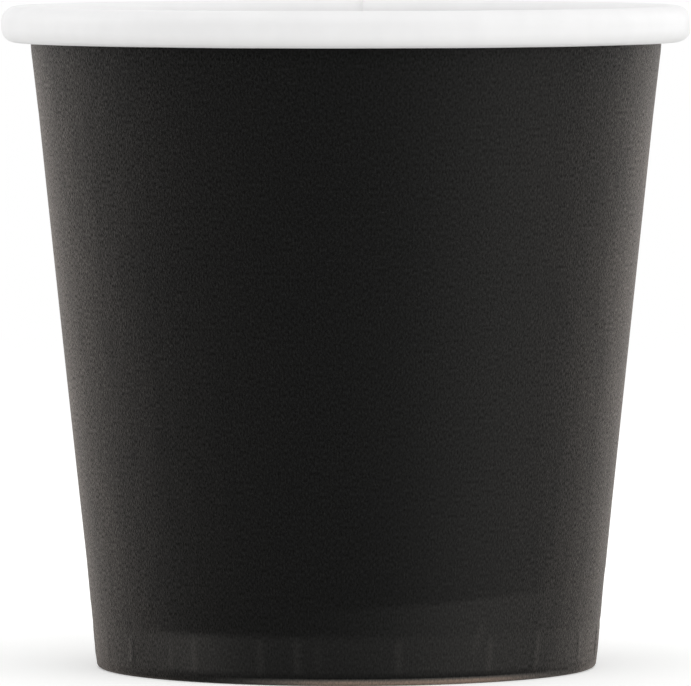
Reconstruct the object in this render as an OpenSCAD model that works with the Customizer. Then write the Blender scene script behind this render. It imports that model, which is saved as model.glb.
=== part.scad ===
// Disposable espresso cup, built as a paper cup is made. The side wall is one sheet, rolled into a
// cone and lapped on itself down the back. Its top edge is rolled outwards into the rim, and its
// bottom edge is folded in and up, over the skirt of a separate round base.
// The origin is the centre of the foot on the table, +Z is up and the lap seam is at the back, +Y.
// Printed face means the outside face of the side wall's sheet.

/* [Cup] */
// Height from the table to the top of the rim
cup_h = 59.5; // [50:0.5:90]
// Outside diameter of the rolled rim
rim_d = 62; // [58:0.5:80]
// Outside diameter at the bottom fold
foot_d = 45; // [40:0.5:50]

/* [Paper] */
// Thickness of the side wall's paper
wall_paper = 0.3; // [0.2:0.02:0.5]
// Thickness of the base's paper
base_paper = 0.28; // [0.2:0.02:0.5]
// Clearance for the seal between the base's skirt and the paper on each side of it
seal_gap = 0.02; // [0.01:0.01:0.05]

/* [Rim] */
// Width of the roll, from the inside of the cup to the outside of the rim
rim_w = 2.8; // [2.2:0.1:3.2]
// Height of the roll
rim_h = 3.3; // [3:0.1:4.5]
// Length of the sheet's edge that is tucked up inside the roll
tuck_l = 1; // [0.4:0.1:1.2]
// Gap between the tucked edge and the wall
tuck_gap = 0.05; // [0.02:0.01:0.2]

/* [Foot] */
// Height of the crimped band above the table
crimp_h = 6.6; // [5:0.1:12]
// How much wider across the crimped band is at its top than at the bottom fold
crimp_flare = 1.1; // [0.2:0.1:2]
// Height of the folded-up edge inside the foot
flap_h = 4.3; // [2:0.1:5]
// Inside radius of each bend in the bottom fold
fold_r = 0.1; // [0.02:0.02:0.14]

/* [Base] */
// Height of the base's underside above the table
recess_h = 6.2; // [5.5:0.1:12]
// Outside radius of the bend from the base down to its skirt
base_bend_r = 0.6; // [0.5:0.1:1.2]

/* [Lap seam] */
// Width of the lap at the mouth
lap_w = 6; // [4:0.5:10]
// Width over which the outer layer slopes down onto the single sheet
lap_slope_w = 1.5; // [0.5:0.1:3]

/* [Hidden] */
$fn = 96;

print_black = "#262423";
board_white = "#f4f4f2";

// Arcs in the section have a point at least every this many degrees
arc_step = 9;

rim_r = rim_d / 2;
foot_r = foot_d / 2;

// Unit vectors in the section for a sheet that leans outwards by an angle: up along it, and
// square out of its printed face
function up_along(lean) = [sin(lean), cos(lean)];
function out_of(lean) = [cos(lean), -sin(lean)];

// Points of an arc round c, from one angle to another
function arc(c, r, from, to) =
    let (steps = ceil(abs(to - from) / arc_step))
    [for (i = [0:steps]) let (t = from + (to - from) * i / steps) c + r * [cos(t), sin(t)]];

// Bottom fold: two bends with a flat land between them that rests on the table
// The bends take at most this share of the gap each, so that some land is always left
bend_share = 0.4;
fold_gap = base_paper + 2 * seal_gap;
bend_in = min(fold_r, bend_share * fold_gap);
bend_out = bend_in + wall_paper;
outer_bend_c = [foot_r - bend_out, bend_out];

// Crimped band, as the line from its top that touches the outer bend
crimp_end = [foot_r + crimp_flare / 2, crimp_h];
to_crimp = crimp_end - outer_bend_c;
crimp_lean = atan2(to_crimp.x, to_crimp.y) - asin(bend_out / norm(to_crimp));
crimp_start = outer_bend_c + bend_out * out_of(crimp_lean);

// Folded-up edge, parallel to the crimped band with the gap for the skirt between them
inner_bend_c = outer_bend_c - [(fold_gap - 2 * bend_in) / cos(crimp_lean), 0];
flap_l = (flap_h - bend_out) / cos(crimp_lean);

// Top of the roll, and the cone as the line from the kink that touches the roll's top arc
roll_top_r = rim_w / 2;
roll_top_c = [rim_r - roll_top_r, cup_h - roll_top_r];
to_roll = roll_top_c - crimp_end;
cone_lean = atan2(to_roll.x, to_roll.y) - asin((roll_top_r - wall_paper) / norm(to_roll));

// Bottom of the roll: the arc that touches the rim's side and its underside, and passes the wall
// at the tuck's gap
rim_low = cup_h - rim_h;
room_low = (rim_r - crimp_end.x) * cos(cone_lean) - (rim_low - crimp_end.y) * sin(cone_lean);
roll_low_r = (room_low - tuck_gap) / (1 + cos(cone_lean) + sin(cone_lean));
roll_low_c = [rim_r - roll_low_r, rim_low + roll_low_r];

// Tucked edge: straight up beside the wall as far as the roll's top arc, and whatever is left of it
// turns with that arc, at the tuck's gap inside it
tuck_r = roll_top_r - 2 * wall_paper - tuck_gap;
tuck_left = tuck_l - (roll_top_c - roll_low_c) * up_along(cone_lean);
tuck_turn = tuck_left / (tuck_r + wall_paper / 2) * 180 / PI;

// Base: its bend touches a line that runs beside the wall's inside face at the seal's clearance
base_bend_z = recess_h + base_paper - base_bend_r;
skirt_inset = wall_paper + seal_gap + base_bend_r;
base_bend_c = [
    crimp_start.x + (base_bend_z - crimp_start.y) * tan(crimp_lean) - skirt_inset / cos(crimp_lean),
    base_bend_z
];
skirt_low = wall_paper + bend_in + seal_gap;
skirt_l = (base_bend_z - base_bend_r * sin(crimp_lean) - skirt_low) / cos(crimp_lean);

// Lap: its angle at the mouth, how deep its extra layer is sunk in the sheet that it is sealed to,
// how far that layer stops short of the bends and the edge of the sheet, and its length up the
// cone, as far as the roll, which it meets under the tucked edge
lap_angle = 2 * asin(lap_w / 2 / (rim_r - rim_w));
lap_sunk = wall_paper / 2;
lap_trim = wall_paper / 3;
lap_l = (roll_low_c - crimp_end) * up_along(cone_lean) - lap_trim;

// The faces of the sheet are lines in the section at a height over its printed face, which is 0.
// Its inside face is at -wall_paper, and the lap's extra layer stands up to +wall_paper.

// The kink at the top of the crimped band
function kink(high) =
    let (half_turn = (cone_lean - crimp_lean) / 2)
    crimp_end + high / cos(half_turn) * out_of(crimp_lean + half_turn);

// The whole sheet: from the folded-up edge inside the foot, round the fold and up the wall, then
// over the roll, down its side, and under and up inside it, where the edge is tucked beside the
// wall; the printed face is on the inside of the roll
function sheet_face(high) = concat(
    [inner_bend_c - (bend_out + high) * out_of(crimp_lean) + flap_l * up_along(crimp_lean)],
    arc(inner_bend_c, bend_out + high, 180 - crimp_lean, 270),
    arc(outer_bend_c, bend_out + high, 270, 360 - crimp_lean),
    [kink(high)],
    arc(roll_top_c, roll_top_r - wall_paper - high, 180 - cone_lean, 0),
    arc(roll_low_c, roll_low_r - wall_paper - high, 0, -180 - cone_lean),
    tuck_turn > 0
        ? arc(roll_top_c, tuck_r - high, 180 - cone_lean, 180 - cone_lean - tuck_turn)
        : [
            roll_low_c - (roll_low_r - wall_paper - high) * out_of(cone_lean)
            + tuck_l * up_along(cone_lean)
        ]
);

// The lap's extra layer up the outside of the wall, as far as the roll, where it is cut away
function lap_wall_face(high) = [
    crimp_start + high * out_of(crimp_lean) + lap_trim * up_along(crimp_lean),
    kink(high),
    crimp_end + high * out_of(cone_lean) + lap_l * up_along(cone_lean)
];

// The lap's extra layer on the folded-up edge
function lap_flap_face(high) =
    let (foot = inner_bend_c - (bend_out + high) * out_of(crimp_lean))
    [foot + lap_trim * up_along(crimp_lean), foot + (flap_l - lap_trim) * up_along(crimp_lean)];

// A face of the base, from its middle out and down its skirt, at a distance from its bend's centre
function base_face(bend_r) = concat(
    [[0, base_bend_z + bend_r]],
    arc(base_bend_c, bend_r, 90, -crimp_lean),
    [base_bend_c + bend_r * out_of(crimp_lean) - skirt_l * up_along(crimp_lean)]
);

// Paper between two faces
module paper(one_face, other_face) {
    last = len(other_face) - 1;
    polygon(concat(one_face, [for (i = [last:-1:0]) other_face[i]]));
}

module over_lap()
    rotate_extrude(angle = lap_angle, start = 90 - lap_angle / 2) children();

// What is cut away from the extra layer, so that it slopes down onto the single sheet
module lap_slope()
    rotate([0, 0, -lap_angle / 2])
        translate([0, crimp_end.x, crimp_end.y])
            rotate([-cone_lean, 0, 0])
                translate([0, -lap_sunk / 2, 0])
                    rotate([0, 0, -atan(wall_paper / lap_slope_w)])
                        translate([-lap_w, 0, -cup_h])
                            cube([2 * lap_w, lap_w, 2 * cup_h]);

module side_wall() {
    color(print_black) {
        rotate_extrude() paper(sheet_face(0), sheet_face(-wall_paper));
        over_lap() paper(lap_flap_face(-lap_sunk), lap_flap_face(wall_paper));
        difference() {
            over_lap() paper(lap_wall_face(-lap_sunk), lap_wall_face(wall_paper));
            lap_slope();
        }
    }
}

module base() {
    color(board_white)
        rotate_extrude() paper(base_face(base_bend_r), base_face(base_bend_r - base_paper));
}

side_wall();
base();
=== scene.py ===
import collections
import math
import random

import bpy
from bpy.props import FloatProperty, FloatVectorProperty, IntProperty, PointerProperty
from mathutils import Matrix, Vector


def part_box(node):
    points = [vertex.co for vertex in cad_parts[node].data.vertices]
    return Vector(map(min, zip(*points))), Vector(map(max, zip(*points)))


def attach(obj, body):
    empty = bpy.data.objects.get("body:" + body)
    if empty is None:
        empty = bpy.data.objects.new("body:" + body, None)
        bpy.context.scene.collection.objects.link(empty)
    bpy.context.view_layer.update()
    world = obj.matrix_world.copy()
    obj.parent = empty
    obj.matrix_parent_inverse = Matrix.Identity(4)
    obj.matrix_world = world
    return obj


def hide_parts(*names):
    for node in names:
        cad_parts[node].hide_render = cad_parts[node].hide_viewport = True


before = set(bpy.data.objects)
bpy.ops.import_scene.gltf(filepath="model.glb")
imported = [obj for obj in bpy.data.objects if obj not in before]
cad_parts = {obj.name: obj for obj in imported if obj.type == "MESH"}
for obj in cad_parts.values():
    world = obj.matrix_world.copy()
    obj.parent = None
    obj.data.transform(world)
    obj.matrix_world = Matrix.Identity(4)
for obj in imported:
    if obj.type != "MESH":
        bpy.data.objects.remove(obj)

bl_info = {
    "name": "Disposable espresso cup",
    "version": (1, 0, 0),
    "blender": (4, 5, 0),
    "location": "3D View > Sidebar > Espresso cup",
    "description": "Makes a paper espresso cup from a rolled side wall and a round base",
    "category": "Object",
}

MM = 0.001

wall_low, wall_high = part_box("side_wall")


# What a user may change


class CupSizes(bpy.types.PropertyGroup):
    """Sizes of the cup and its paper"""
    height: FloatProperty(
        name="Height", description="From the table to the top of the rim",
        default=wall_high.z, unit="LENGTH", subtype="DISTANCE", precision=5)
    rim_across: FloatProperty(
        name="Rim across", description="Outside diameter of the rolled rim",
        default=wall_high.x - wall_low.x, unit="LENGTH", subtype="DISTANCE", precision=5)
    foot_across: FloatProperty(
        name="Foot across", description="Outside diameter at the bottom fold",
        default=45 * MM, unit="LENGTH", subtype="DISTANCE", precision=5)
    wall_paper: FloatProperty(
        name="Wall paper", description="Thickness of the side wall's paper",
        default=0.3 * MM, unit="LENGTH", subtype="DISTANCE", precision=5)
    base_paper: FloatProperty(
        name="Base paper", description="Thickness of the base's paper",
        default=0.28 * MM, unit="LENGTH", subtype="DISTANCE", precision=5)
    seal_gap: FloatProperty(
        name="Seal gap", description="Clearance on each side of the base's skirt",
        default=0.02 * MM, unit="LENGTH", subtype="DISTANCE", precision=5)
    rim_wide: FloatProperty(
        name="Rim width", description="Width of the roll",
        default=2.8 * MM, unit="LENGTH", subtype="DISTANCE", precision=5)
    rim_high: FloatProperty(
        name="Rim height", description="Height of the roll",
        default=3.3 * MM, unit="LENGTH", subtype="DISTANCE", precision=5)
    tuck_long: FloatProperty(
        name="Tuck", description="Length of the edge that is tucked up inside the roll",
        default=1 * MM, unit="LENGTH", subtype="DISTANCE", precision=5)
    tuck_gap: FloatProperty(
        name="Tuck gap", description="Gap between the tucked edge and the wall",
        default=0.05 * MM, unit="LENGTH", subtype="DISTANCE", precision=5)
    crimp_high: FloatProperty(
        name="Crimp height", description="Height of the crimped band above the table",
        default=6.6 * MM, unit="LENGTH", subtype="DISTANCE", precision=5)
    crimp_flare: FloatProperty(
        name="Crimp flare", description="How much wider across the crimped band is at its top",
        default=1.1 * MM, unit="LENGTH", subtype="DISTANCE", precision=5)
    flap_high: FloatProperty(
        name="Flap height", description="Height of the folded-up edge inside the foot",
        default=4.3 * MM, unit="LENGTH", subtype="DISTANCE", precision=5)
    fold_inside: FloatProperty(
        name="Fold radius", description="Inside radius of each bend in the bottom fold",
        default=0.1 * MM, unit="LENGTH", subtype="DISTANCE", precision=5)
    recess_high: FloatProperty(
        name="Recess height", description="Height of the base's underside above the table",
        default=6.2 * MM, unit="LENGTH", subtype="DISTANCE", precision=5)
    base_bend: FloatProperty(
        name="Base bend", description="Outside radius of the bend from the base to its skirt",
        default=0.6 * MM, unit="LENGTH", subtype="DISTANCE", precision=5)
    lap_wide: FloatProperty(
        name="Lap width", description="Width of the lap at the mouth",
        default=6 * MM, unit="LENGTH", subtype="DISTANCE", precision=5)
    lap_slope: FloatProperty(
        name="Lap slope", description="Width over which the outer layer climbs onto the inner one",
        default=1.5 * MM, unit="LENGTH", subtype="DISTANCE", precision=5)
    pleat_count: IntProperty(
        name="Pleats", description="Number of small pleats round the crimped band",
        default=30, min=0, max=60)
    pleat_proud: FloatProperty(
        name="Pleat height", description="How far the strongest pleats stand out of the paper",
        default=0.085 * MM, unit="LENGTH", subtype="DISTANCE", precision=6)
    wall_wave: FloatProperty(
        name="Wall wave", description="How far the wall wanders from a true cone",
        default=0.05 * MM, unit="LENGTH", subtype="DISTANCE", precision=6)


class CupPaper(bpy.types.PropertyGroup):
    """Colours and surfaces of the paper"""
    ink: FloatVectorProperty(
        name="Ink", description="Colour printed on the outside",
        subtype="COLOR", size=3, min=0, max=1, default=(0.0015, 0.0021, 0.0021))
    ink_pale: FloatVectorProperty(
        name="Pale ink", description="Colour where the ink lies thin on the fibres",
        subtype="COLOR", size=3, min=0, max=1, default=(0.0064, 0.0059, 0.0056))
    # Partly scuffed ink and partly a painted sheen: the crimped band is made paler with this colour.
    ink_scuffed_and_sheen: FloatVectorProperty(
        name="Scuffed ink", description="Colour where the ink is only scuffed",
        subtype="COLOR", size=3, min=0, max=1, default=(0.180, 0.180, 0.172))
    # Partly worn ink and partly a painted reflection of the floor: the pale line on the bottom fold
    # takes this colour.
    ink_worn_and_reflecting: FloatVectorProperty(
        name="Worn ink", description="Colour where the ink is rubbed or cracked off the board",
        subtype="COLOR", size=3, min=0, max=1, default=(0.262, 0.194, 0.154))
    board: FloatVectorProperty(
        name="Board", description="Colour of the white inside, the rim and the base",
        subtype="COLOR", size=3, min=0, max=1, default=(0.875, 0.870, 0.874))
    cut_edge: FloatVectorProperty(
        name="Cut edge", description="Colour of the paper's cut edges",
        subtype="COLOR", size=3, min=0, max=1, default=(0.72, 0.68, 0.60))


class CupStage(bpy.types.PropertyGroup):
    """Light, floor and background"""
    floor: FloatVectorProperty(
        name="Floor", description="Colour of the floor",
        subtype="COLOR", size=3, min=0, max=1, default=(0.90, 0.90, 0.89))
    floor_across: FloatProperty(
        name="Floor across", description="Width of the floor",
        default=4.0, unit="LENGTH", subtype="DISTANCE")
    room_light: FloatProperty(
        name="Room light", description="Level of the light that comes from all round",
        default=0.74, min=0, max=2)
    left_light: FloatProperty(
        name="Left light", description="Power of the soft lamp on the left",
        default=1.5, min=0, max=100, unit="POWER")
    right_light: FloatProperty(
        name="Right light", description="Power of the soft lamp on the right",
        default=1.2, min=0, max=100, unit="POWER")
    back_light: FloatProperty(
        name="Back light", description="Power of the soft lamp behind the cup on the right",
        default=0.8, min=0, max=100, unit="POWER")
    top_light: FloatProperty(
        name="Top light", description="Power of the soft lamp above",
        default=1.45, min=0, max=100, unit="POWER")


# The cup's section, as points of distance from the axis and height


def up_along(lean):
    """Direction up a sheet that leans outwards."""
    return Vector((math.sin(lean), math.cos(lean)))


def out_of(lean):
    """Direction square out of the printed face of a sheet that leans outwards."""
    return Vector((math.cos(lean), -math.sin(lean)))


def heading(turn):
    """Direction at an angle from level, pointing away from the axis at 0."""
    return Vector((math.cos(turn), math.sin(turn)))


def even(first, last, steps):
    """Evenly spaced values from first to last, both included."""
    return [first + (last - first) * i / steps for i in range(steps + 1)]


def ease(value, start, end):
    """Climbs softly from 0 at start to 1 at end."""
    t = min(1.0, max(0.0, (value - start) / (end - start)))
    return t * t * (3 - 2 * t)


def bell(value, centre, half_width):
    """A soft hump of height 1."""
    return math.exp(-((value - centre) / half_width) ** 2)


class CupSection:
    """Centres, leans and lengths of the section, as in the CAD"""

    def __init__(self, sizes):
        self.paper = sizes.wall_paper
        rim_r = sizes.rim_across / 2
        foot_r = sizes.foot_across / 2
        fold_gap = sizes.base_paper + 2 * sizes.seal_gap
        bend_in = min(sizes.fold_inside, 0.4 * fold_gap)
        self.bend_out = bend_in + self.paper
        self.outer_bend = Vector((foot_r - self.bend_out, self.bend_out))
        self.crimp_end = Vector((foot_r + sizes.crimp_flare / 2, sizes.crimp_high))
        to_crimp = self.crimp_end - self.outer_bend
        self.crimp_lean = (math.atan2(to_crimp.x, to_crimp.y)
                           - math.asin(self.bend_out / to_crimp.length))
        self.crimp_start = self.outer_bend + self.bend_out * out_of(self.crimp_lean)
        inset = (fold_gap - 2 * bend_in) / math.cos(self.crimp_lean)
        self.inner_bend = self.outer_bend - Vector((inset, 0))
        self.flap_long = (sizes.flap_high - self.bend_out) / math.cos(self.crimp_lean)

        self.top_r = sizes.rim_wide / 2
        self.top_c = Vector((rim_r - self.top_r, sizes.height - self.top_r))
        to_roll = self.top_c - self.crimp_end
        self.cone_lean = (math.atan2(to_roll.x, to_roll.y)
                          - math.asin((self.top_r - self.paper) / to_roll.length))
        self.cone_end = self.top_c - (self.top_r - self.paper) * out_of(self.cone_lean)
        rim_low = sizes.height - sizes.rim_high
        room = ((rim_r - self.crimp_end.x) * math.cos(self.cone_lean)
                - (rim_low - self.crimp_end.y) * math.sin(self.cone_lean))
        share = 1 + math.cos(self.cone_lean) + math.sin(self.cone_lean)
        self.low_r = (room - sizes.tuck_gap) / share
        self.low_c = Vector((rim_r - self.low_r, rim_low + self.low_r))
        self.tuck_r = self.top_r - 2 * self.paper - sizes.tuck_gap
        straight = (self.top_c - self.low_c).dot(up_along(self.cone_lean))
        self.tuck_up = min(sizes.tuck_long, straight)
        self.tuck_turn = (sizes.tuck_long - self.tuck_up) / (self.tuck_r + self.paper / 2)

        self.base_r = sizes.base_bend
        self.base_paper = sizes.base_paper
        bend_z = sizes.recess_high + sizes.base_paper - self.base_r
        inset = (self.paper + sizes.seal_gap + self.base_r) / math.cos(self.crimp_lean)
        run = (bend_z - self.crimp_start.y) * math.tan(self.crimp_lean)
        self.base_c = Vector((self.crimp_start.x + run - inset, bend_z))
        skirt_low = self.paper + bend_in + sizes.seal_gap
        drop = bend_z - self.base_r * math.sin(self.crimp_lean) - skirt_low
        self.skirt_long = drop / math.cos(self.crimp_lean)

        mouth_r = rim_r - sizes.rim_wide
        self.half_lap = math.degrees(math.asin(sizes.lap_wide / 2 / mouth_r))
        self.lap_climb = math.degrees(sizes.lap_slope / mouth_r)


Row = collections.namedtuple("Row", "spot facing place squeeze")


def wall_rows(cut):
    """Rows of the printed face, from the flap's edge round the fold and up the wall to the tuck.

    Each has the direction that the printed face looks in, the name of its stretch, and the share
    of its thickness that the paper keeps where two layers are pressed together.
    """
    rows = []
    pressed = 0.48
    lean = cut.crimp_lean
    foot = cut.inner_bend - cut.bend_out * out_of(lean)
    for t in (1.0, 0.82, 0.6, 0.42, 0.25, 0.12):
        keeps = pressed + (1 - pressed) * ease(t * cut.flap_long, 0.2 * MM, 1.5 * MM)
        rows.append(Row(foot + t * cut.flap_long * up_along(lean), -out_of(lean), "flap", keeps))
    for turn in even(math.pi - lean, 1.5 * math.pi, 5):
        spot = cut.inner_bend + cut.bend_out * heading(turn)
        rows.append(Row(spot, heading(turn), "fold", pressed))
    for turn in even(1.5 * math.pi, 2 * math.pi - lean, 6):
        spot = cut.outer_bend + cut.bend_out * heading(turn)
        rows.append(Row(spot, heading(turn), "fold", pressed))

    up = cut.crimp_end - cut.crimp_start
    for t in even(0, 1, 21)[1:-1]:
        keeps = pressed + (1 - pressed) * ease(t * up.length, 0.2 * MM, 1.6 * MM)
        rows.append(Row(cut.crimp_start + t * up, out_of(lean), "crimp", keeps))
    rows.append(Row(cut.crimp_end, out_of((lean + cut.cone_lean) / 2), "crimp", 1))

    up = cut.cone_end - cut.crimp_end
    under_rim = (cut.low_c - cut.crimp_end).dot(up_along(cut.cone_lean))
    stops = [0.35 * MM * i for i in range(1, 11)]
    stops += even(stops[-1], under_rim - 3 * MM, 9)[1:]
    stops += even(stops[-1], under_rim - 0.5 * MM, 7)[1:]
    stops += [under_rim, up.length - 0.5 * MM]
    for stop in stops:
        keeps = 1 - (1 - pressed) * ease(stop, under_rim - 1.5 * MM, under_rim - 0.7 * MM)
        spot = cut.crimp_end + stop * up_along(cut.cone_lean)
        rows.append(Row(spot, out_of(cut.cone_lean), "cone", keeps))

    reach = cut.top_r - cut.paper
    for turn in even(math.pi - cut.cone_lean, 0, 20):
        rows.append(Row(cut.top_c + reach * heading(turn), -heading(turn), "roll", pressed))
    reach = cut.low_r - cut.paper
    for turn in even(0, -math.pi - cut.cone_lean, 18):
        rows.append(Row(cut.low_c + reach * heading(turn), -heading(turn), "roll", pressed))
    for t in (0.5, 1.0):
        spot = (cut.low_c - reach * out_of(cut.cone_lean)
                + t * cut.tuck_up * up_along(cut.cone_lean))
        rows.append(Row(spot, out_of(cut.cone_lean), "tuck", pressed))
    first = math.pi - cut.cone_lean
    for turn in even(first, first - cut.tuck_turn, 4)[1:]:
        spot = cut.top_c + cut.tuck_r * heading(turn)
        rows.append(Row(spot, -heading(turn), "roll", pressed))
    return rows


# Shapes that the tools and hands leave in the paper. Heights given as z are in mm, and angles
# round the cup are in degrees from +X towards +Y, so the front is at 270.


Pleat = collections.namedtuple("Pleat", "turn low high strength slant")

FRONT_PLEATS = (
    Pleat(227.2, 0.7, 4.1, 0.4, 0.0),
    Pleat(234.1, 0.6, 4.2, 1.00, 0.1),
    Pleat(250.6, 0.7, 4.3, 0.75, 0.0),
    Pleat(259.0, 0.7, 4.4, 0.75, -0.1),
    Pleat(263.6, 0.9, 4.0, 0.35, 0.0),
    Pleat(281.5, 0.7, 4.3, 0.80, 0.0),
    Pleat(299.0, 2.4, 5.6, 0.60, 1.4),
    Pleat(303.4, 0.6, 4.1, 1.00, 0.2),
    Pleat(317.4, 0.7, 4.4, 0.70, 0.1),
)


def all_pleats(count):
    """The pleats seen from the front, and more of them at uneven steps round the rest."""
    chance = random.Random(12)
    pleats = list(FRONT_PLEATS[:count])
    rest = count - len(pleats)
    for i in range(rest):
        turn = 330 + (i + 0.5) * 246 / rest + chance.uniform(-2.6, 2.6)
        pleats.append(Pleat(
            turn % 360, chance.uniform(0.6, 1.0), chance.uniform(3.6, 4.5),
            chance.choice((0.35, 0.6, 0.75, 1.0)), chance.uniform(-0.4, 0.4)))
    return pleats


def turn_between(turn, other):
    """Shortest way round from one angle to another, in degrees."""
    return (turn - other + 180) % 360 - 180


def on_pleat(pleat, turn, z, half_width):
    """How much of a pleat there is at a place, from 0 to its strength."""
    off = turn_between(turn, pleat.turn) - pleat.slant * (z - 2.4) / 2
    if abs(off) >= 2.6:
        return 0
    up = ease(z, pleat.low, pleat.low + 0.7) * (1 - ease(z, pleat.high - 0.6, pleat.high))
    return pleat.strength * up * bell(off, 0, half_width)


def slanting_line(turn):
    """Height of the faint line above the crimped band, which the skirt's end leaves."""
    return 7.3 + 1.5 * math.sin(math.radians(turn - 278))


def foot_relief(turn, z, pleats, proud):
    """How far the printed face of the foot stands out of a smooth cone."""
    relief = sum(proud * on_pleat(pleat, turn, z, 0.85) for pleat in pleats)
    wander = 0.12 * math.sin(math.radians(3 * turn + 40)) + 0.06 * math.sin(math.radians(7 * turn))
    step = ease(z, 4.0 + wander, 4.55 + wander) * (1 - ease(z, 5, 11))
    line = slanting_line(turn) + 0.12 * math.sin(math.radians(5 * turn))
    upper_step = ease(z, line - 0.35, line + 0.25) * (1 - ease(z, line + 0.5, line + 7))
    fold = bell(z, 1.0, 0.45)
    return relief + (0.036 * step + 0.032 * upper_step + 0.02 * fold) * MM


# Stretches round the cup where the ink is made paler: the middle, half the width, how much paler.
# On the bottom fold the pale line is partly worn ink and partly a painted reflection of the floor.
FOLD_WORN_AND_PAINTED_REFLECTION = (
    (266, 17, 0.75), (297, 22, 1.0), (352, 9, 0.4), (38, 14, 0.7), (84, 8, 0.5), (131, 18, 0.8),
    (166, 11, 0.5),
)
# Paler spots on the crimped band: partly scuffed ink, partly a painted sheen.
BAND_SCUFF_AND_SHEEN_SPOTS = ((232, 11, 0.075), (343, 12, 0.030), (47, 12, 0.050))
# Painted light below the slanting line on the right, where the step under it catches the light.
UNDER_LINE_PAINTED_LIGHT = ((299, 25, 0.042),)
# Painted light on the right side of the wall, where the light falls from the right, and a painted
# highlight near its right edge.
WALL_PAINTED_LIGHT = ((303, 20, 0.046), (337, 13, 0.012))
UPPER_WALL_PAINTED_HIGHLIGHT = ((344, 11, 0.020),)

# The whole band is made a little paler, partly a scuff and partly a painted sheen, but less so in
# these stretches
BAND_SCUFF_AND_SHEEN = 0.034
BAND_LESS_SHEEN = ((300, 30, 0.55), (203, 16, 0.6))


def in_stretches(turn, stretches):
    """Sum of what the stretches hold at an angle."""
    return sum(much * bell(turn_between(turn, middle), 0, half) for middle, half, much in stretches)


def wear_and_painted_light(turn, z, pleats):
    """How much paler the ink is made, from 0 to 1: partly worn ink, partly painted light, painted
    sheen and a painted reflection.
    """
    line = slanting_line(turn) - 0.4
    above_fold = ease(z, 0.5, 1.3)
    in_band = above_fold * (1 - ease(z, 3.9, 4.7))
    under_line = above_fold * (1 - ease(z, line - 0.3, line + 0.3))
    band = BAND_SCUFF_AND_SHEEN * (1 - in_stretches(turn, BAND_LESS_SHEEN)) + in_stretches(turn, BAND_SCUFF_AND_SHEEN_SPOTS)
    # The pale line on the bottom fold: partly worn ink, partly a painted reflection of the floor.
    wear_and_light = min(1.0, in_stretches(turn, FOLD_WORN_AND_PAINTED_REFLECTION)) * (1 - ease(z, 0.30, 0.62))
    # The crimped band: partly scuffed ink, partly a painted sheen.
    wear_and_light += in_band * band
    # Painted light below the slanting line on the right.
    wear_and_light += under_line * in_stretches(turn, UNDER_LINE_PAINTED_LIGHT)
    # Painted light on the right side of the wall.
    wear_and_light += above_fold * in_stretches(turn, WALL_PAINTED_LIGHT)
    # Painted highlight near the wall's right edge.
    wear_and_light += ease(z, 8, 20) * in_stretches(turn, UPPER_WALL_PAINTED_HIGHLIGHT)
    # Painted highlights along the pleats.
    return wear_and_light + sum(0.045 * on_pleat(pleat, turn, z, 0.8) for pleat in pleats)


def wall_drift(turn, z, amount):
    """How far the whole sheet wanders out of a true cone.

    Under the rim it is spread a little by the tool that rolls the rim.
    """
    a = math.radians(turn)
    swing = (0.45 * math.sin(2 * a + 0.6 + z / 30)
             + 0.30 * math.sin(5 * a - 1.1 - z / 21)
             + 0.25 * math.sin(9 * a + 2.3 + z / 13))
    flare = 0.08 * MM * bell(z, 55.2, 1.3)
    return amount * swing * ease(z, 8, 16) * (1 - ease(z, 46, 55)) + flare


def skived(turn, edge, z):
    """Share of its thickness that the lap's inner layer keeps near its cut edge.

    The edge is pressed thin all the way up, and almost to nothing at the rim.
    """
    pressed = ease(z, 8, 12) * (0.25 + 0.63 * ease(z, 44, 54))
    return 1 - pressed * (1 - ease(turn, edge, edge + 3))


def rim_softness(turn, along):
    """How far the sheet of the roll is pressed in, from 0.011 to 0.033 mm."""
    a = math.radians(turn)
    swing = math.sin(3 * a + 1.0 + along) + 0.7 * math.sin(8 * a - 2 * along) + 0.4 * math.sin(17 * a)
    return (0.022 + 0.005 * swing) * MM


# Meshes


# Places of the materials in the wall's list and in the base's
PRINTED, WHITE, CUT = range(3)
BOARD, EDGE = range(2)


def finish_mesh(name, spots, faces, kinds, places, materials, wear_and_light_values=None):
    """A mesh object from faces, each with a material and a place on the flat sheet per corner.

    The last material is the cut edge's, whose faces stay flat. The share by which the ink is made
    paler, by wear and by painted light, is given for each spot, or for none.
    """
    mesh = bpy.data.meshes.new(name)
    mesh.from_pydata(spots, [], faces)
    flat = mesh.uv_layers.new(name="sheet")
    flat.uv.foreach_set("vector", [value for face in places for spot in face for value in spot])
    mesh.polygons.foreach_set("material_index", kinds)
    mesh.polygons.foreach_set("use_smooth", [kind < len(materials) - 1 for kind in kinds])
    if wear_and_light_values:
        mesh.attributes.new("wear_and_painted_light", "FLOAT", "POINT").data.foreach_set("value", wear_and_light_values)
    for material in materials:
        mesh.materials.append(material)
    made = bpy.data.objects.new(name, mesh)
    bpy.context.scene.collection.objects.link(made)
    return made


def wall_columns(cut, pleats):
    """Angles round the cup, from the inner cut edge of the lap to the outer one.

    They are closer together where the outer layer climbs, where the layers are pressed together
    and across each pleat.
    """
    narrowest = 0.12
    first = 90 - cut.half_lap + cut.lap_climb
    last = 450 + cut.half_lap
    turns = set(even(first, last, 148))
    turns.update(even(450 - cut.half_lap, first + 360, 5))
    turns.update(even(450 - cut.half_lap - 0.8, 450 - cut.half_lap, 2))
    turns.update(even(90 + cut.half_lap, 90 + cut.half_lap + 0.6, 2))
    for pleat in pleats:
        for off in (-1.7, -1.1, -0.55, 0, 0.55, 1.1, 1.7):
            for whole in (0, 360):
                turn = pleat.turn + off + whole
                if first < turn < last:
                    turns.add(turn)
    ordered = sorted(turns)
    kept = ordered[:1]
    for turn in ordered[1:]:
        if turn - kept[-1] > narrowest:
            kept.append(turn)
    kept[-1] = last
    return kept


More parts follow.
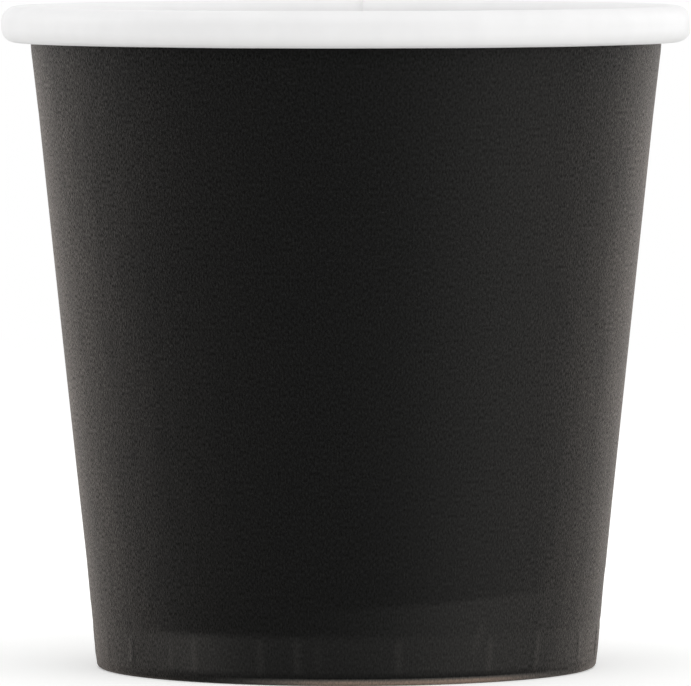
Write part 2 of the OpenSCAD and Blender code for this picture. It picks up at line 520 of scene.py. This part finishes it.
def wall_spots(sizes, cut, rows, along, turns, pleats):
    """Spots of the printed face and of the white one, column by column, and how much paler the ink is
    made by wear and by painted light.
    """
    seal = 0.01 * MM
    climb_start = 450 - cut.half_lap
    climb_end = climb_start + cut.lap_climb
    outer_edge = 90 + cut.half_lap
    first_edge = climb_end - 360
    printed = []
    white = []
    wear_and_light_values = []
    for turn in turns:
        over = ease(turn, climb_start, climb_end)
        pressed = max(ease(turn, climb_start - 0.8, climb_start),
                      1 - ease(turn, outer_edge, outer_edge + 0.6))
        sideways = heading(math.radians(turn))
        for row, way in zip(rows, along):
            thick = cut.paper * (1 - (1 - row.squeeze) * pressed)
            z = row.spot.y / MM
            under = thick * skived(turn - 360 if over else turn, first_edge, z)
            inside = -cut.paper + over * (under + seal)
            outside = inside + (thick if over else under)
            wear_and_light_values.append(wear_and_painted_light(turn, z, pleats) if row.place in ("fold", "crimp", "cone") else 0)
            if row.place in ("crimp", "cone"):
                outside += foot_relief(turn, z, pleats, sizes.pleat_proud)
                drift = wall_drift(turn, z, sizes.wall_wave)
                inside += drift
                outside += drift
            if row.place == "roll":
                inside += rim_softness(turn, way / MM)
                outside += rim_softness(turn, way / MM)
            for face, high in ((printed, outside), (white, inside)):
                spot = row.spot + high * row.facing
                face.append((spot.x * sideways.x, spot.x * sideways.y, spot.y))
    return printed, white, wear_and_light_values + [0] * len(white)


def make_wall(sizes, materials):
    """The side wall as one sheet, rolled round and lapped on itself at the back."""
    cut = CupSection(sizes)
    rows = wall_rows(cut)
    pleats = all_pleats(sizes.pleat_count)
    turns = wall_columns(cut, pleats)
    along = [0.0]
    for before, row in zip(rows, rows[1:]):
        along.append(along[-1] + (row.spot - before.spot).length)
    printed, white, wear_and_light_values = wall_spots(sizes, cut, rows, along, turns, pleats)

    count = len(rows)
    behind = len(printed)
    mean_r = (sizes.rim_across + sizes.foot_across) / 4
    faces = []
    kinds = []
    places = []

    def add(corners, kind, flat):
        faces.append(corners)
        kinds.append(kind)
        places.append(flat)

    for i in range(len(turns) - 1):
        left, right = math.radians(turns[i]) * mean_r, math.radians(turns[i + 1]) * mean_r
        a, b = i * count, (i + 1) * count
        for j in range(count - 1):
            flat = ((left, along[j]), (right, along[j]), (right, along[j + 1]), (left, along[j + 1]))
            add((a + j, b + j, b + j + 1, a + j + 1), PRINTED, flat)
            add(tuple(behind + k for k in (a + j + 1, b + j + 1, b + j, a + j)), WHITE, flat[::-1])
        low, high = a, a + count - 1
        step = b - a
        flat = ((left, 0), (left, cut.paper), (right, cut.paper), (right, 0))
        add((low, behind + low, behind + low + step, low + step), CUT, flat)
        add((high + step, behind + high + step, behind + high, high), CUT, flat)
    for j in range(count - 1):
        flat = ((0, along[j]), (0, along[j + 1]), (cut.paper, along[j + 1]), (cut.paper, along[j]))
        add((j, j + 1, behind + j + 1, behind + j), CUT, flat)
        far = (len(turns) - 1) * count + j
        add((behind + far, behind + far + 1, far + 1, far), CUT, flat)
    return finish_mesh("side_wall_paper", printed + white, faces, kinds, places, materials, wear_and_light_values)


def base_profile(cut):
    """Faces of the base, from its middle out and down the skirt: the upper one and the lower."""
    upper = []
    lower = []
    for share in (0.12, 0.26, 0.4, 0.54, 0.68, 0.8, 0.9, 0.96):
        for face, bend in ((upper, cut.base_r), (lower, cut.base_r - cut.base_paper)):
            face.append(Vector((cut.base_c.x * share, cut.base_c.y + bend)))
    for turn in even(math.pi / 2, -cut.crimp_lean, 10):
        upper.append(cut.base_c + cut.base_r * heading(turn))
        lower.append(cut.base_c + (cut.base_r - cut.base_paper) * heading(turn))
    upper_bend, lower_bend = upper[-1], lower[-1]
    for share in (0.2, 0.4, 0.6, 0.8, 0.92, 1.0):
        down = share * cut.skirt_long * up_along(cut.crimp_lean)
        upper.append(upper_bend - down)
        lower.append(lower_bend - down)
    return upper, lower


def base_dish(turn, r):
    """How the middle of the base rises and falls, r as a share of its radius."""
    a = math.radians(turn)
    swing = math.cos(math.pi * r) * 0.5 + 0.4 * r * math.sin(2 * a + 0.7) + 0.3 * r * math.sin(3 * a)
    return 0.035 * MM * swing * (1 - ease(r, 0.7, 0.98))


def make_base(sizes, materials):
    """The round base with its edge turned down into a skirt."""
    cut = CupSection(sizes)
    upper, lower = base_profile(cut)
    sectors = 144
    turns = [360 * i / sectors for i in range(sectors)]
    count = len(upper)
    spots = []
    for profile in (upper, lower):
        for turn in turns:
            a = math.radians(turn)
            for spot in profile:
                rise = base_dish(turn, spot.x / cut.base_c.x) if spot.x < cut.base_c.x else 0
                spots.append((spot.x * math.cos(a), spot.x * math.sin(a), spot.y + rise))
    behind = len(turns) * count
    middle = len(spots)
    for profile in (upper, lower):
        spots.append((0, 0, profile[0].y + base_dish(0, 0)))
    faces = []
    kinds = []
    for i in range(len(turns)):
        a, b = i * count, (i + 1) % len(turns) * count
        faces.append((middle, a, b))
        faces.append((middle + 1, behind + b, behind + a))
        kinds += [BOARD, BOARD]
        for j in range(count - 1):
            faces.append((a + j, a + j + 1, b + j + 1, b + j))
            faces.append(tuple(behind + k for k in (b + j, b + j + 1, a + j + 1, a + j)))
            kinds += [BOARD, BOARD]
        end = count - 1
        faces.append((a + end, behind + a + end, behind + b + end, b + end))
        kinds.append(EDGE)
    places = [[(spots[k][0], spots[k][1] + spots[k][2]) for k in face] for face in faces]
    return finish_mesh("base_paper", spots, faces, kinds, places, materials)


# Materials


def blank_material(name):
    """A material with its output, its shader and the place on the flat sheet in metres."""
    material = bpy.data.materials.new(name)
    material.use_nodes = True
    nodes = material.node_tree.nodes
    nodes.clear()
    shader = nodes.new("ShaderNodeBsdfPrincipled")
    output = nodes.new("ShaderNodeOutputMaterial")
    material.node_tree.links.new(shader.outputs["BSDF"], output.inputs["Surface"])
    place = nodes.new("ShaderNodeUVMap")
    place.uv_map = "sheet"
    return material, shader, place.outputs["UV"]


def grain(material, place, across, along, detail=3.0):
    """Noise whose spots are about as wide and as long as the sizes given."""
    nodes, links = material.node_tree.nodes, material.node_tree.links
    stretch = nodes.new("ShaderNodeMapping")
    stretch.inputs["Scale"].default_value = (1 / across, 1 / along, 1)
    noise = nodes.new("ShaderNodeTexNoise")
    noise.inputs["Scale"].default_value = 1
    noise.inputs["Detail"].default_value = detail
    noise.inputs["Roughness"].default_value = 0.6
    links.new(place, stretch.inputs["Vector"])
    links.new(stretch.outputs["Vector"], noise.inputs["Vector"])
    return noise.outputs["Fac"]


def spread_out(material, value, low, high, from_low=0.3, from_high=0.7):
    """The noise stretched to run from low to high."""
    node = material.node_tree.nodes.new("ShaderNodeMapRange")
    node.inputs["From Min"].default_value = from_low
    node.inputs["From Max"].default_value = from_high
    node.inputs["To Min"].default_value = low
    node.inputs["To Max"].default_value = high
    material.node_tree.links.new(value, node.inputs["Value"])
    return node.outputs["Result"]


def blend_colours(material, share, first, second):
    """One colour where the share is 0 and the other where it is 1."""
    node = material.node_tree.nodes.new("ShaderNodeMix")
    node.data_type = "RGBA"
    node.inputs["A"].default_value = (*first, 1)
    node.inputs["B"].default_value = (*second, 1)
    material.node_tree.links.new(share, node.inputs["Factor"])
    return node.outputs["Result"]


def maths(tree, kind, first, second):
    """A calculation between two values, each a socket or a number."""
    node = tree.nodes.new("ShaderNodeMath")
    node.operation = kind
    for value, socket in ((first, node.inputs[0]), (second, node.inputs[1])):
        if isinstance(value, (int, float)):
            socket.default_value = value
        else:
            tree.links.new(value, socket)
    return node.outputs["Value"]


def bumps(material, shader, *layers):
    """Bumps of the shader's surface: each layer is a noise and its height in metres."""
    nodes, links = material.node_tree.nodes, material.node_tree.links
    normal = None
    for noise, height in layers:
        bump = nodes.new("ShaderNodeBump")
        bump.inputs["Strength"].default_value = 1
        bump.inputs["Distance"].default_value = height
        links.new(noise, bump.inputs["Height"])
        if normal:
            links.new(normal, bump.inputs["Normal"])
        normal = bump.outputs["Normal"]
    links.new(normal, shader.inputs["Normal"])


def printed_paper(paper):
    """Matt black ink on the outside of the board, with its fibres showing through."""
    material, shader, place = blank_material("printed black paper")
    links = material.node_tree.links
    fibres = grain(material, place, 0.16 * MM, 0.30 * MM, 4.0)
    cloud = grain(material, place, 2.6 * MM, 4.2 * MM, 2.0)
    thin_ink = spread_out(material, fibres, 0, 1, 0.42, 0.78)
    inked = blend_colours(material, thin_ink, paper.ink, paper.ink_pale)
    # This attribute makes the ink paler: partly worn ink, partly painted light, painted sheen and a
    # painted reflection.
    wear_and_light = material.node_tree.nodes.new("ShaderNodeAttribute")
    wear_and_light.attribute_name = "wear_and_painted_light"
    bare_and_lit = maths(material.node_tree, "MULTIPLY", wear_and_light.outputs["Fac"],
                 spread_out(material, fibres, 1.3, 0.7))
    coloured = blend_colours(material, bare_and_lit, paper.ink, paper.ink_worn_and_reflecting)
    links.new(inked, coloured.node.inputs["A"])
    links.new(blend_colours(material, bare_and_lit, paper.ink_scuffed_and_sheen, paper.ink_worn_and_reflecting),
              coloured.node.inputs["B"])
    links.new(coloured, shader.inputs["Base Color"])
    links.new(spread_out(material, fibres, 0.32, 0.52), shader.inputs["Roughness"])
    links.new(spread_out(material, fibres, 0.20, 0.0), shader.inputs["Specular IOR Level"])
    handling = grain(material, place, 5 * MM, 9 * MM, 2.0)
    sheen = maths(material.node_tree, "MULTIPLY", spread_out(material, fibres, 0.45, 0.03),
                  spread_out(material, handling, 0.84, 1.16))
    links.new(sheen, shader.inputs["Sheen Weight"])
    shader.inputs["Sheen Roughness"].default_value = 0.4
    shader.inputs["Sheen Tint"].default_value = (1.0, 0.82, 0.70, 1)
    bumps(material, shader, (fibres, 0.044 * MM), (cloud, 0.07 * MM))
    return material


def white_board(paper, name="white coated board"):
    """Smooth white board with a thin coat, for the inside, the rim and the base."""
    material, shader, place = blank_material(name)
    links = material.node_tree.links
    fibres = grain(material, place, 0.22 * MM, 0.4 * MM, 3.0)
    cloud = grain(material, place, 3.0 * MM, 5.0 * MM, 2.0)
    shade = tuple(value * 0.965 for value in paper.board)
    links.new(blend_colours(material, spread_out(material, cloud, 0, 1), shade, paper.board),
              shader.inputs["Base Color"])
    links.new(spread_out(material, fibres, 0.36, 0.46), shader.inputs["Roughness"])
    shader.inputs["Specular IOR Level"].default_value = 0.4
    bumps(material, shader, (fibres, 0.003 * MM), (cloud, 0.03 * MM))
    return material


def cut_board(paper):
    """Bare fibres on the cut edges of the paper."""
    material, shader, place = blank_material("cut paper edge")
    links = material.node_tree.links
    fibres = grain(material, place, 0.05 * MM, 0.4 * MM, 4.0)
    dark = tuple(value * 0.8 for value in paper.cut_edge)
    links.new(blend_colours(material, spread_out(material, fibres, 0, 1), dark, paper.cut_edge),
              shader.inputs["Base Color"])
    shader.inputs["Roughness"].default_value = 0.9
    shader.inputs["Specular IOR Level"].default_value = 0.2
    bumps(material, shader, (fibres, 0.01 * MM))
    return material


# Stage


def soft_lamp(name, spot, aim, across, power):
    """A large soft lamp that looks at a point."""
    light = bpy.data.lights.new(name, "AREA")
    light.shape = "SQUARE"
    light.size = across
    light.energy = power
    lamp = bpy.data.objects.new(name, light)
    lamp.location = spot
    lamp.rotation_euler = (Vector(aim) - Vector(spot)).to_track_quat("-Z", "Y").to_euler()
    bpy.context.scene.collection.objects.link(lamp)


def make_world(stage):
    """White to the camera, and a soft light on everything that is a little stronger on the right.

    In reflections it is white as well, but for the room in front of the cup, which is dim.
    """
    dim = 0.03
    dimmest_at, white_from = -0.95, 0.05
    right_share = 0.12
    right_lift = 0.4
    world = bpy.data.worlds.new("white studio")
    world.use_nodes = True
    tree = world.node_tree
    tree.nodes.clear()
    path = tree.nodes.new("ShaderNodeLightPath")
    seen = maths(tree, "MAXIMUM", path.outputs["Is Camera Ray"], path.outputs["Is Transmission Ray"])
    direction = tree.nodes.new("ShaderNodeTexCoord")
    split = tree.nodes.new("ShaderNodeSeparateXYZ")
    tree.links.new(direction.outputs["Generated"], split.inputs["Vector"])
    room = tree.nodes.new("ShaderNodeMapRange")
    room.interpolation_type = "SMOOTHSTEP"
    room.inputs["From Min"].default_value = dimmest_at
    room.inputs["From Max"].default_value = white_from
    room.inputs["To Min"].default_value = dim
    room.inputs["To Max"].default_value = 1
    to_the_right = maths(tree, "MULTIPLY", split.outputs["X"], right_share)
    to_the_back = maths(tree, "ADD", split.outputs["Y"], to_the_right)
    tree.links.new(to_the_back, room.inputs["Value"])
    shine = maths(tree, "MULTIPLY", room.outputs["Result"], path.outputs["Is Glossy Ray"])
    white = maths(tree, "MAXIMUM", seen, shine)
    either = maths(tree, "MAXIMUM", seen, path.outputs["Is Glossy Ray"])
    on_the_right = maths(tree, "MAXIMUM", split.outputs["X"], 0)
    level = maths(tree, "ADD", maths(tree, "MULTIPLY", on_the_right, right_lift), 1)
    level = maths(tree, "MULTIPLY", level, stage.room_light)
    rest = maths(tree, "MULTIPLY", maths(tree, "SUBTRACT", 1, either), level)
    background = tree.nodes.new("ShaderNodeBackground")
    background.inputs["Color"].default_value = (1, 1, 1, 1)
    tree.links.new(maths(tree, "ADD", white, rest), background.inputs["Strength"])
    output = tree.nodes.new("ShaderNodeOutputWorld")
    tree.links.new(background.outputs["Background"], output.inputs["Surface"])
    bpy.context.scene.world = world


def floor_material(stage):
    """Pale near the cup, where it keeps the shadow, and fading into the white background.

    From below, and inside the ring of the foot, it isn't there, so that the recess under the
    base can be looked at.
    """
    lifted = 0.3
    fade_from, fade_to = 0.08, 0.6
    inside_foot_r = 21 * MM
    material = bpy.data.materials.new("pale floor")
    material.use_nodes = True
    tree = material.node_tree
    tree.nodes.clear()
    pale = tree.nodes.new("ShaderNodeBsdfDiffuse")
    pale.inputs["Color"].default_value = (*stage.floor, 1)
    lift = tree.nodes.new("ShaderNodeEmission")
    both = tree.nodes.new("ShaderNodeAddShader")
    white = tree.nodes.new("ShaderNodeEmission")
    mix = tree.nodes.new("ShaderNodeMixShader")
    output = tree.nodes.new("ShaderNodeOutputMaterial")
    path = tree.nodes.new("ShaderNodeLightPath")
    place = tree.nodes.new("ShaderNodeNewGeometry")
    far = tree.nodes.new("ShaderNodeVectorMath")
    far.operation = "LENGTH"
    tree.links.new(place.outputs["Position"], far.inputs[0])
    fade = tree.nodes.new("ShaderNodeMapRange")
    fade.interpolation_type = "SMOOTHSTEP"
    fade.inputs["From Min"].default_value = fade_from
    fade.inputs["From Max"].default_value = fade_to
    tree.links.new(far.outputs["Value"], fade.inputs["Value"])
    camera = path.outputs["Is Camera Ray"]
    tree.links.new(maths(tree, "MULTIPLY", camera, lifted), lift.inputs["Strength"])
    seen = maths(tree, "MAXIMUM", camera, path.outputs["Is Glossy Ray"])
    seen = maths(tree, "MAXIMUM", seen, path.outputs["Is Transmission Ray"])
    tree.links.new(maths(tree, "MULTIPLY", fade.outputs["Result"], seen), mix.inputs["Fac"])
    tree.links.new(pale.outputs["BSDF"], both.inputs[0])
    tree.links.new(lift.outputs["Emission"], both.inputs[1])
    tree.links.new(both.outputs["Shader"], mix.inputs[1])
    tree.links.new(white.outputs["Emission"], mix.inputs[2])
    nothing = tree.nodes.new("ShaderNodeBsdfTransparent")
    from_above = tree.nodes.new("ShaderNodeMixShader")
    hidden = maths(tree, "LESS_THAN", far.outputs["Value"], inside_foot_r)
    hidden = maths(tree, "MAXIMUM", hidden, place.outputs["Backfacing"])
    tree.links.new(hidden, from_above.inputs["Fac"])
    tree.links.new(mix.outputs["Shader"], from_above.inputs[1])
    tree.links.new(nothing.outputs["BSDF"], from_above.inputs[2])
    tree.links.new(from_above.outputs["Shader"], output.inputs["Surface"])
    return material


def make_floor(stage):
    """A flat floor that the cup stands on."""
    half = stage.floor_across / 2
    mesh = bpy.data.meshes.new("floor")
    low = -0.02 * MM
    corners = [(-half, -half, low), (half, -half, low), (half, half, low), (-half, half, low)]
    mesh.from_pydata(corners, [], [(0, 1, 2, 3)])
    mesh.materials.append(floor_material(stage))
    floor = bpy.data.objects.new("floor", mesh)
    bpy.context.scene.collection.objects.link(floor)


def make_camera():
    """The camera where the photograph was taken from, straight in front and a little above."""
    spot = (-0.03 * MM, -0.9, 0.0745)
    looks_down = 0.0504
    rolls = 0.0008
    data = bpy.data.cameras.new("camera")
    data.sensor_width = 36
    data.lens = 521.6
    data.clip_start = 0.05
    data.clip_end = 20
    camera = bpy.data.objects.new("camera", data)
    camera.location = spot
    camera.rotation_euler = (math.pi / 2 - looks_down, rolls, 0)
    bpy.context.scene.collection.objects.link(camera)
    bpy.context.scene.camera = camera


# Operators and panel


class MakeSideWall(bpy.types.Operator):
    """Make the lapped side wall with its rolled rim and folded foot"""
    bl_idname = "espresso_cup.make_side_wall"
    bl_label = "Make side wall"

    def execute(self, context):
        paper = context.scene.cup_paper
        materials = (printed_paper(paper), white_board(paper), cut_board(paper))
        wall = make_wall(context.scene.cup_sizes, materials)
        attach(wall, "root")
        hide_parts("side_wall")
        return {"FINISHED"}


class MakeBase(bpy.types.Operator):
    """Make the round base with its skirt"""
    bl_idname = "espresso_cup.make_base"
    bl_label = "Make base"

    def execute(self, context):
        paper = context.scene.cup_paper
        materials = (white_board(paper, "white base board"), cut_board(paper))
        base = make_base(context.scene.cup_sizes, materials)
        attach(base, "root")
        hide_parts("base")
        return {"FINISHED"}


class MakeStage(bpy.types.Operator):
    """Make the floor, the soft lights, the white background and the camera"""
    bl_idname = "espresso_cup.make_stage"
    bl_label = "Make stage"

    def execute(self, context):
        stage = context.scene.cup_stage
        context.scene.view_settings.view_transform = "Standard"
        make_world(stage)
        make_floor(stage)
        middle = (0, 0, 0.03)
        soft_lamp("left lamp", (-0.75, 0.20, 0.25), middle, 0.7, stage.left_light)
        soft_lamp("right lamp", (0.70, -0.48, 0.14), middle, 0.7, stage.right_light)
        soft_lamp("back lamp", (0.65, 0.50, 0.12), middle, 0.7, stage.back_light)
        soft_lamp("top lamp", (0, -0.45, 0.8), middle, 0.9, stage.top_light)
        make_camera()
        return {"FINISHED"}


class CupPanel(bpy.types.Panel):
    """Sizes, colours and steps for making the cup"""
    bl_idname = "VIEW3D_PT_espresso_cup"
    bl_label = "Espresso cup"
    bl_space_type = "VIEW_3D"
    bl_region_type = "UI"
    bl_category = "Espresso cup"

    def draw(self, context):
        scene = context.scene
        for settings in (scene.cup_sizes, scene.cup_paper, scene.cup_stage):
            box = self.layout.box()
            for key in settings.bl_rna.properties.keys():
                if key not in ("name", "rna_type"):
                    box.prop(settings, key)
        for step in STEPS:
            self.layout.operator(step.bl_idname)


GROUPS = {"cup_sizes": CupSizes, "cup_paper": CupPaper, "cup_stage": CupStage}
STEPS = (MakeSideWall, MakeBase, MakeStage)


def register():
    for key, group in GROUPS.items():
        bpy.utils.register_class(group)
        setattr(bpy.types.Scene, key, PointerProperty(type=group))
    for step in STEPS:
        bpy.utils.register_class(step)
    bpy.utils.register_class(CupPanel)


def unregister():
    bpy.utils.unregister_class(CupPanel)
    for step in reversed(STEPS):
        bpy.utils.unregister_class(step)
    for key, group in reversed(GROUPS.items()):
        delattr(bpy.types.Scene, key)
        bpy.utils.unregister_class(group)


def main():
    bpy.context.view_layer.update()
    register()
    bpy.ops.espresso_cup.make_side_wall()
    bpy.ops.espresso_cup.make_base()
    bpy.ops.espresso_cup.make_stage()


if __name__ == "__main__":
    main()
